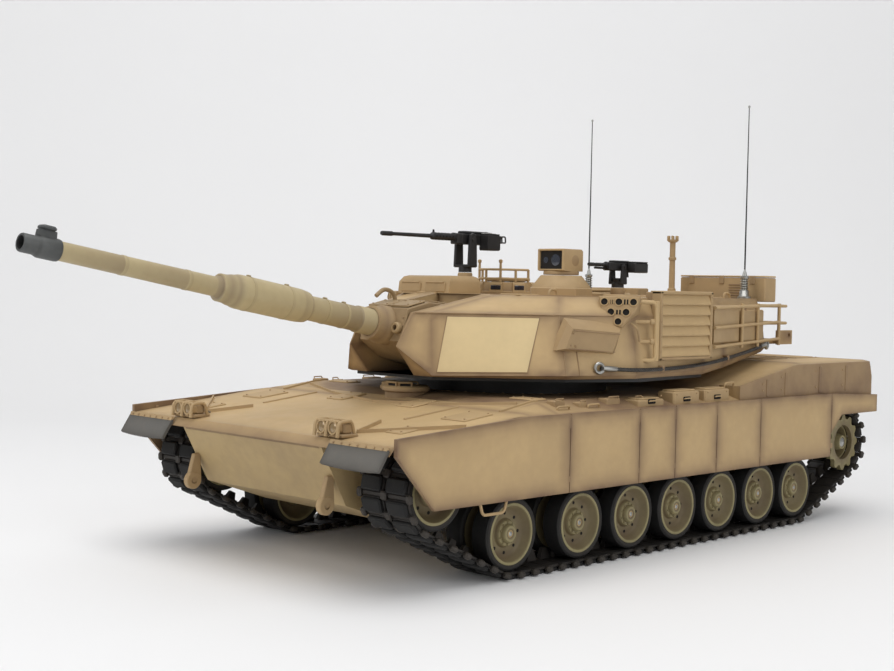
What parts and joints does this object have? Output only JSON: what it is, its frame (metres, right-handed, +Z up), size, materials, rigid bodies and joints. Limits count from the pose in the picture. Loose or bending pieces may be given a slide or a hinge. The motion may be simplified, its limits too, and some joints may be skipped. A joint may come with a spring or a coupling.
{
  "type": "rc tank",
  "caption": "Sixteenth-scale radio-controlled battle tank with sprung running gear, turning turret, elevating and recoiling gun, hatches and machine guns.",
  "frame": {"origin": "middle of the bounding box on the ground under the tracks", "axes": "+X forward along the hull, +Y to the left side, +Z up"},
  "size_m": [0.6018, 0.2286, 0.281],
  "materials": {
    "tan_plastic": "matt desert-tan paint, airbrushed darker along the edges",
    "hull_metal": "matt tan paint on a metal tub",
    "dark_rubber": "dark grey rubber",
    "track_links": "black links with grey-black rubber pads",
    "steel": "plain machined steel",
    "cell_wrap": "blue shrink wrap",
    "circuit_board": "green circuit board",
    "black_plastic": "near-black satin plastic",
    "wheel_metal": "matt olive-tan paint with black rubber tyres",
    "barrel_metal": "matt tan-olive paint, dark grey muzzle collar",
    "antenna_steel": "bright metal base with a thin dark whip",
    "cable_steel": "dark steel wire rope with bright eyes"
  },
  "bodies": {
    "hull": {"lower_hull": "hull_metal", "upper_hull": "tan_plastic", "side_skirts": "tan_plastic", "mudguards": "dark_rubber", "lamps_and_hooks": "tan_plastic", "track_left": "track_links", "track_right": "track_links", "drive_units": "steel", "battery": "cell_wrap", "electronics": "circuit_board"},
    "power_switch": {"power_switch": "black_plastic"},
    "driver_hatch": {"driver_hatch": "tan_plastic"},
    "arm_l1": {"arm_l1": "steel"},
    "wheel_l1": {"wheel_l1": "wheel_metal"},
    "arm_l2": {"arm_l2": "steel"},
    "wheel_l2": {"wheel_l2": "wheel_metal"},
    "arm_l3": {"arm_l3": "steel"},
    "wheel_l3": {"wheel_l3": "wheel_metal"},
    "arm_l4": {"arm_l4": "steel"},
    "wheel_l4": {"wheel_l4": "wheel_metal"},
    "arm_l5": {"arm_l5": "steel"},
    "wheel_l5": {"wheel_l5": "wheel_metal"},
    "arm_l6": {"arm_l6": "steel"},
    "wheel_l6": {"wheel_l6": "wheel_metal"},
    "arm_l7": {"arm_l7": "steel"},
    "wheel_l7": {"wheel_l7": "wheel_metal"},
    "arm_r1": {"arm_r1": "steel"},
    "wheel_r1": {"wheel_r1": "wheel_metal"},
    "arm_r2": {"arm_r2": "steel"},
    "wheel_r2": {"wheel_r2": "wheel_metal"},
    "arm_r3": {"arm_r3": "steel"},
    "wheel_r3": {"wheel_r3": "wheel_metal"},
    "arm_r4": {"arm_r4": "steel"},
    "wheel_r4": {"wheel_r4": "wheel_metal"},
    "arm_r5": {"arm_r5": "steel"},
    "wheel_r5": {"wheel_r5": "wheel_metal"},
    "arm_r6": {"arm_r6": "steel"},
    "wheel_r6": {"wheel_r6": "wheel_metal"},
    "arm_r7": {"arm_r7": "steel"},
    "wheel_r7": {"wheel_r7": "wheel_metal"},
    "sprocket_left": {"sprocket_left": "wheel_metal"},
    "idler_left": {"idler_left": "wheel_metal"},
    "sprocket_right": {"sprocket_right": "wheel_metal"},
    "idler_right": {"idler_right": "wheel_metal"},
    "turret": {"turret_shell": "tan_plastic", "turret_base": "tan_plastic", "turret_racks": "tan_plastic", "turret_fittings": "tan_plastic", "antennas": "antenna_steel", "tow_cables": "cable_steel", "turret_drives": "steel"},
    "gun_mantlet": {"gun_mantlet": "tan_plastic"},
    "gun_barrel": {"gun_barrel": "barrel_metal"},
    "commander_hatch": {"commander_hatch": "tan_plastic"},
    "loader_hatch": {"loader_hatch": "tan_plastic"},
    "heavy_mg_mount": {"heavy_mg_mount": "black_plastic"},
    "heavy_mg": {"heavy_mg": "black_plastic"},
    "light_mg_mount": {"light_mg_mount": "black_plastic"},
    "light_mg": {"light_mg": "black_plastic"},
    "sight_head": {"sight_head": "tan_plastic"}
  },
  "joints": [
    {"name": "turret_yaw", "type": "hinge", "parent": "hull", "child": "turret", "pos_m": [-0.03617, 0, 0.097], "axis": [0, 0, 1], "range_deg": [-160, 160]},
    {"name": "gun_elevation", "type": "hinge", "parent": "turret", "child": "gun_mantlet", "pos_m": [0.03383, 0, 0.1246], "axis": [0, -1, 0], "range_deg": [-9.8, 10.2]},
    {"name": "gun_recoil", "type": "slide", "parent": "gun_mantlet", "child": "gun_barrel", "axis": [-0.9854, 0, -0.1702], "range_m": [0, 0.008], "stiffness_N_per_m": 250, "springref_m": -0.004},
    {"name": "commander_hatch_hinge", "type": "hinge", "parent": "turret", "child": "commander_hatch", "pos_m": [-0.09017, -0.038, 0.16], "axis": [0, -1, 0], "range_deg": [0, 100]},
    {"name": "loader_hatch_hinge", "type": "hinge", "parent": "turret", "child": "loader_hatch", "pos_m": [-0.09917, 0.037, 0.1542], "axis": [0, -1, 0], "range_deg": [0, 100]},
    {"name": "heavy_mg_yaw", "type": "hinge", "parent": "turret", "child": "heavy_mg_mount", "pos_m": [-0.03117, -0.035, 0.165], "axis": [0, 0, 1], "range_deg": [-40, 40]},
    {"name": "heavy_mg_pitch", "type": "hinge", "parent": "heavy_mg_mount", "child": "heavy_mg", "pos_m": [-0.03117, -0.035, 0.185], "axis": [0, -1, 0], "range_deg": [-10, 30]},
    {"name": "light_mg_yaw", "type": "hinge", "parent": "turret", "child": "light_mg_mount", "pos_m": [-0.06917, 0.06, 0.157], "axis": [0, 0, 1], "range_deg": [0, 60]},
    {"name": "light_mg_pitch", "type": "hinge", "parent": "light_mg_mount", "child": "light_mg", "pos_m": [-0.06917, 0.06, 0.1685], "axis": [0, -1, 0], "range_deg": [-10, 20]},
    {"name": "sight_yaw", "type": "hinge", "parent": "turret", "child": "sight_head", "pos_m": [-0.03617, 0.042, 0.163], "axis": [0, 0, 1], "continuous": true},
    {"name": "driver_hatch_pivot", "type": "hinge", "parent": "hull", "child": "driver_hatch", "pos_m": [0.05283, -0.017, 0.093], "axis": [0, 0, 1], "range_deg": [-120, 0]},
    {"name": "power_switch_slide", "type": "slide", "parent": "hull", "child": "power_switch", "axis": [1, 0, 0], "range_m": [0, 0.003]},
    {"name": "drive_left", "type": "hinge", "parent": "hull", "child": "sprocket_left", "pos_m": [-0.27417, 0.0889, 0.0505], "axis": [0, 1, 0], "continuous": true},
    {"name": "idler_left_spin", "type": "hinge", "parent": "hull", "child": "idler_left", "pos_m": [0.12883, 0.0889, 0.051], "axis": [0, 1, 0], "continuous": true},
    {"name": "arm_l1_swing", "type": "hinge", "parent": "hull", "child": "arm_l1", "pos_m": [0.09613, 0.0889, 0.03305], "axis": [0, 1, 0], "range_deg": [0, 15], "stiffness_Nm_per_rad": 0.8, "springref_deg": -20.05},
    {"name": "wheel_l1_spin", "type": "hinge", "parent": "arm_l1", "child": "wheel_l1", "pos_m": [0.07213, 0.0889, 0.02405], "axis": [0, 1, 0], "continuous": true},
    {"name": "arm_l2_swing", "type": "hinge", "parent": "hull", "child": "arm_l2", "pos_m": [0.03913, 0.0889, 0.03305], "axis": [0, 1, 0], "range_deg": [0, 15], "stiffness_Nm_per_rad": 0.8, "springref_deg": -20.05},
    {"name": "wheel_l2_spin", "type": "hinge", "parent": "arm_l2", "child": "wheel_l2", "pos_m": [0.01513, 0.0889, 0.02405], "axis": [0, 1, 0], "continuous": true},
    {"name": "arm_l3_swing", "type": "hinge", "parent": "hull", "child": "arm_l3", "pos_m": [-0.00787, 0.0889, 0.03305], "axis": [0, 1, 0], "range_deg": [0, 15], "stiffness_Nm_per_rad": 0.8, "springref_deg": -20.05},
    {"name": "wheel_l3_spin", "type": "hinge", "parent": "arm_l3", "child": "wheel_l3", "pos_m": [-0.03187, 0.0889, 0.02405], "axis": [0, 1, 0], "continuous": true},
    {"name": "arm_l4_swing", "type": "hinge", "parent": "hull", "child": "arm_l4", "pos_m": [-0.05287, 0.0889, 0.03305], "axis": [0, 1, 0], "range_deg": [0, 15], "stiffness_Nm_per_rad": 0.8, "springref_deg": -20.05},
    {"name": "wheel_l4_spin", "type": "hinge", "parent": "arm_l4", "child": "wheel_l4", "pos_m": [-0.07687, 0.0889, 0.02405], "axis": [0, 1, 0], "continuous": true},
    {"name": "arm_l5_swing", "type": "hinge", "parent": "hull", "child": "arm_l5", "pos_m": [-0.09787, 0.0889, 0.03305], "axis": [0, 1, 0], "range_deg": [0, 15], "stiffness_Nm_per_rad": 0.8, "springref_deg": -20.05},
    {"name": "wheel_l5_spin", "type": "hinge", "parent": "arm_l5", "child": "wheel_l5", "pos_m": [-0.12187, 0.0889, 0.02405], "axis": [0, 1, 0], "continuous": true},
    {"name": "arm_l6_swing", "type": "hinge", "parent": "hull", "child": "arm_l6", "pos_m": [-0.14287, 0.0889, 0.03305], "axis": [0, 1, 0], "range_deg": [0, 15], "stiffness_Nm_per_rad": 0.8, "springref_deg": -20.05},
    {"name": "wheel_l6_spin", "type": "hinge", "parent": "arm_l6", "child": "wheel_l6", "pos_m": [-0.16687, 0.0889, 0.02405], "axis": [0, 1, 0], "continuous": true},
    {"name": "arm_l7_swing", "type": "hinge", "parent": "hull", "child": "arm_l7", "pos_m": [-0.18687, 0.0889, 0.03305], "axis": [0, 1, 0], "range_deg": [0, 15], "stiffness_Nm_per_rad": 0.8, "springref_deg": -20.05},
    {"name": "wheel_l7_spin", "type": "hinge", "parent": "arm_l7", "child": "wheel_l7", "pos_m": [-0.21087, 0.0889, 0.02405], "axis": [0, 1, 0], "continuous": true},
    {"name": "drive_right", "type": "hinge", "parent": "hull", "child": "sprocket_right", "pos_m": [-0.27417, -0.0889, 0.0505], "axis": [0, 1, 0], "continuous": true},
    {"name": "idler_right_spin", "type": "hinge", "parent": "hull", "child": "idler_right", "pos_m": [0.12883, -0.0889, 0.051], "axis": [0, 1, 0], "continuous": true},
    {"name": "arm_r1_swing", "type": "hinge", "parent": "hull", "child": "arm_r1", "pos_m": [0.09613, -0.0889, 0.03305], "axis": [0, 1, 0], "range_deg": [0, 15], "stiffness_Nm_per_rad": 0.8, "springref_deg": -20.05},
    {"name": "wheel_r1_spin", "type": "hinge", "parent": "arm_r1", "child": "wheel_r1", "pos_m": [0.07213, -0.0889, 0.02405], "axis": [0, 1, 0], "continuous": true},
    {"name": "arm_r2_swing", "type": "hinge", "parent": "hull", "child": "arm_r2", "pos_m": [0.03913, -0.0889, 0.03305], "axis": [0, 1, 0], "range_deg": [0, 15], "stiffness_Nm_per_rad": 0.8, "springref_deg": -20.05},
    {"name": "wheel_r2_spin", "type": "hinge", "parent": "arm_r2", "child": "wheel_r2", "pos_m": [0.01513, -0.0889, 0.02405], "axis": [0, 1, 0], "continuous": true},
    {"name": "arm_r3_swing", "type": "hinge", "parent": "hull", "child": "arm_r3", "pos_m": [-0.00787, -0.0889, 0.03305], "axis": [0, 1, 0], "range_deg": [0, 15], "stiffness_Nm_per_rad": 0.8, "springref_deg": -20.05},
    {"name": "wheel_r3_spin", "type": "hinge", "parent": "arm_r3", "child": "wheel_r3", "pos_m": [-0.03187, -0.0889, 0.02405], "axis": [0, 1, 0], "continuous": true},
    {"name": "arm_r4_swing", "type": "hinge", "parent": "hull", "child": "arm_r4", "pos_m": [-0.05287, -0.0889, 0.03305], "axis": [0, 1, 0], "range_deg": [0, 15], "stiffness_Nm_per_rad": 0.8, "springref_deg": -20.05},
    {"name": "wheel_r4_spin", "type": "hinge", "parent": "arm_r4", "child": "wheel_r4", "pos_m": [-0.07687, -0.0889, 0.02405], "axis": [0, 1, 0], "continuous": true},
    {"name": "arm_r5_swing", "type": "hinge", "parent": "hull", "child": "arm_r5", "pos_m": [-0.09787, -0.0889, 0.03305], "axis": [0, 1, 0], "range_deg": [0, 15], "stiffness_Nm_per_rad": 0.8, "springref_deg": -20.05},
    {"name": "wheel_r5_spin", "type": "hinge", "parent": "arm_r5", "child": "wheel_r5", "pos_m": [-0.12187, -0.0889, 0.02405], "axis": [0, 1, 0], "continuous": true},
    {"name": "arm_r6_swing", "type": "hinge", "parent": "hull", "child": "arm_r6", "pos_m": [-0.14287, -0.0889, 0.03305], "axis": [0, 1, 0], "range_deg": [0, 15], "stiffness_Nm_per_rad": 0.8, "springref_deg": -20.05},
    {"name": "wheel_r6_spin", "type": "hinge", "parent": "arm_r6", "child": "wheel_r6", "pos_m": [-0.16687, -0.0889, 0.02405], "axis": [0, 1, 0], "continuous": true},
    {"name": "arm_r7_swing", "type": "hinge", "parent": "hull", "child": "arm_r7", "pos_m": [-0.18687, -0.0889, 0.03305], "axis": [0, 1, 0], "range_deg": [0, 15], "stiffness_Nm_per_rad": 0.8, "springref_deg": -20.05},
    {"name": "wheel_r7_spin", "type": "hinge", "parent": "arm_r7", "child": "wheel_r7", "pos_m": [-0.21087, -0.0889, 0.02405], "axis": [0, 1, 0], "continuous": true}
  ],
  "couplings": [
    {"joint": "idler_left_spin", "follows": "drive_left", "ratio": 1.0937},
    {"joint": "wheel_l1_spin", "follows": "drive_left", "ratio": 1.0937},
    {"joint": "wheel_l2_spin", "follows": "drive_left", "ratio": 1.0937},
    {"joint": "wheel_l3_spin", "follows": "drive_left", "ratio": 1.0937},
    {"joint": "wheel_l4_spin", "follows": "drive_left", "ratio": 1.0937},
    {"joint": "wheel_l5_spin", "follows": "drive_left", "ratio": 1.0937},
    {"joint": "wheel_l6_spin", "follows": "drive_left", "ratio": 1.0937},
    {"joint": "wheel_l7_spin", "follows": "drive_left", "ratio": 1.0937},
    {"joint": "idler_right_spin", "follows": "drive_right", "ratio": 1.0937},
    {"joint": "wheel_r1_spin", "follows": "drive_right", "ratio": 1.0937},
    {"joint": "wheel_r2_spin", "follows": "drive_right", "ratio": 1.0937},
    {"joint": "wheel_r3_spin", "follows": "drive_right", "ratio": 1.0937},
    {"joint": "wheel_r4_spin", "follows": "drive_right", "ratio": 1.0937},
    {"joint": "wheel_r5_spin", "follows": "drive_right", "ratio": 1.0937},
    {"joint": "wheel_r6_spin", "follows": "drive_right", "ratio": 1.0937},
    {"joint": "wheel_r7_spin", "follows": "drive_right", "ratio": 1.0937}
  ]
}
